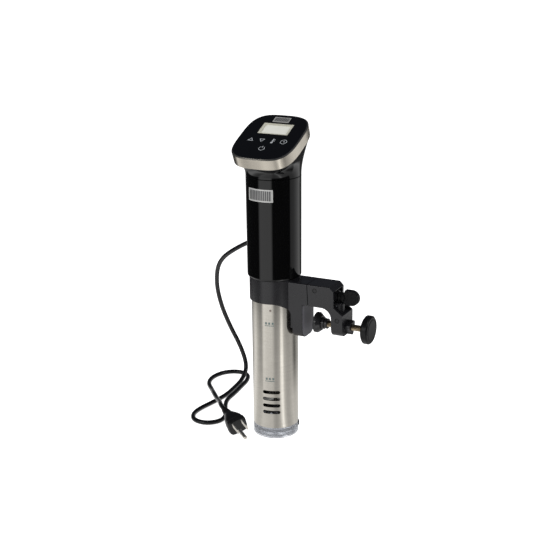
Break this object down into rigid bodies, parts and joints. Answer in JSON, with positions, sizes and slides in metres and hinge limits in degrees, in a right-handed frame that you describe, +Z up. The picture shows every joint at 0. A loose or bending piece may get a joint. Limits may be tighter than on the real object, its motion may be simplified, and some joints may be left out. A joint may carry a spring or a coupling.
{
  "type": "sous vide circulator",
  "caption": "Immersion circulator: steel skirt with clear base cap, black housing, tilted touch display head, sliding screw clamp for a pot wall, and a lying power cord with plug.",
  "frame": {"origin": "centre of the base cap's underside, on the axis of the steel skirt", "axes": "+Z up along the skirt, the display and the inlet slots face -Y, the pot clamp points along +X"},
  "size_m": [0.2881, 0.2023, 0.3988],
  "materials": {
    "skirt_steel": "brushed around the tube, warm grey",
    "inner_steel": "drawn tube, satin",
    "zinc_steel": "bright zinc plate",
    "satin_aluminium": "machined, satin",
    "motor_metal": "plated can, satin",
    "bush_bronze": "sintered bronze, matt",
    "rod_metal": "nickel-brass thread, satin",
    "blade_metal": "nickel-plated brass, bright",
    "gloss_black": "piano-black moulding, polished",
    "satin_black": "fine satin moulding",
    "pin_black": "smooth satin pin ends",
    "cap_black": "turned satin cap",
    "grey_plastic": "satin moulding",
    "clear_plastic": "clear moulding",
    "rubber_black": "matt rubber",
    "pad_rubber": "fine-textured rubber",
    "cord_black": "satin sheath",
    "plug_black": "smooth moulded plug",
    "bezel_metal": "champagne, finely brushed, bright chamfer",
    "black_glass": "black-backed polished glass",
    "lcd_surround": "pale moulded surround",
    "lcd_pale": "pale unlit display",
    "sensor_film": "dark sensor film",
    "icon_white": "printed symbols",
    "badge_silver": "satin plate with a border",
    "mark_ink": "printed teal-grey lines",
    "board_green": "solder-masked board",
    "component_black": "moulded components"
  },
  "bodies": {
    "housing": {"lower_bulkhead": "satin_black", "shaft_seal": "rubber_black", "shaft_sleeve": "inner_steel", "shaft_bush": "bush_bronze", "heater_tubes": "inner_steel", "heater_terminals": "zinc_steel", "temperature_probe": "inner_steel", "level_rods": "inner_steel", "probe_seals": "rubber_black", "motor_mount": "satin_aluminium", "motor_can": "motor_metal", "motor_screws": "zinc_steel", "housing_shell": "gloss_black", "housing_badge": "badge_silver", "power_board": "board_green", "board_parts": "component_black", "collar_screws": "zinc_steel", "cord_gland": "rubber_black", "bezel": "bezel_metal", "panel_glass": "black_glass", "lcd_frame": "lcd_surround", "lcd_screen": "lcd_pale", "touch_sensor": "sensor_film", "control_board": "board_green", "head_screws": "zinc_steel", "panel_badge": "badge_silver", "panel_icons": "icon_white", "head_shell": "gloss_black", "clamp_collar": "satin_black", "jaw_pad": "pad_rubber", "bracket_tongue": "satin_black", "power_cord": "cord_black", "plug_body": "plug_black", "plug_blades": "blade_metal", "ground_pin": "blade_metal"},
    "skirt": {"skirt_tube": "skirt_steel", "skirt_rivet": "inner_steel", "skirt_ring": "grey_plastic", "foot_ring": "grey_plastic", "level_marks": "mark_ink"},
    "base_cap": {"base_cap": "clear_plastic", "cap_tab": "satin_black"},
    "rotor": {"impeller_shaft": "inner_steel", "impeller": "grey_plastic", "motor_shaft": "inner_steel", "shaft_coupler": "satin_aluminium", "cooling_fan": "satin_black"},
    "clamp_arm": {"clamp_arm": "satin_black", "arm_pins": "pin_black", "arm_screws": "zinc_steel", "screw_nut": "satin_black"},
    "pad": {"pad_face": "pad_rubber", "pad_foot": "satin_black", "pad_retainer": "satin_black"},
    "clamp_screw": {"clamp_screw": "rod_metal", "clamp_knob": "satin_black", "knob_cap": "cap_black"},
    "wing_screw": {"wing_screw": "rod_metal", "wing_washer": "zinc_steel", "wing_knob": "satin_black"}
  },
  "joints": [
    {"name": "rotor_spin", "type": "hinge", "parent": "housing", "child": "rotor", "pos_m": [0, 0, 0.03], "axis": [0, 0, 1], "continuous": true},
    {"name": "skirt_twist", "type": "hinge", "parent": "housing", "child": "skirt", "pos_m": [0, 0, 0.195], "axis": [0, 0, 1], "range_deg": [0, 25]},
    {"name": "base_cap_twist", "type": "hinge", "parent": "skirt", "child": "base_cap", "pos_m": [0, 0, 0.018], "axis": [0, 0, -1], "range_deg": [0, 25]},
    {"name": "clamp_arm_slide", "type": "slide", "parent": "housing", "child": "clamp_arm", "axis": [1, 0, 0], "range_m": [0, 0.012]},
    {"name": "wing_screw_spin", "type": "hinge", "parent": "clamp_arm", "child": "wing_screw", "pos_m": [0.09, 0, 0.1917], "axis": [1, 0, 0], "range_deg": [0, 4325]},
    {"name": "pad_travel", "type": "slide", "parent": "clamp_arm", "child": "pad", "axis": [1, 0, 0], "range_m": [-0.01, 0.01]},
    {"name": "clamp_screw_spin", "type": "hinge", "parent": "pad", "child": "clamp_screw", "pos_m": [0.09, 0, 0.1545], "axis": [1, 0, 0], "range_deg": [-2890, 2890]}
  ],
  "couplings": [
    {"joint": "wing_screw_spin", "follows": "clamp_arm_slide", "rad_per_m": 6283.2},
    {"joint": "clamp_screw_spin", "follows": "pad_travel", "rad_per_m": 5026.6}
  ]
}
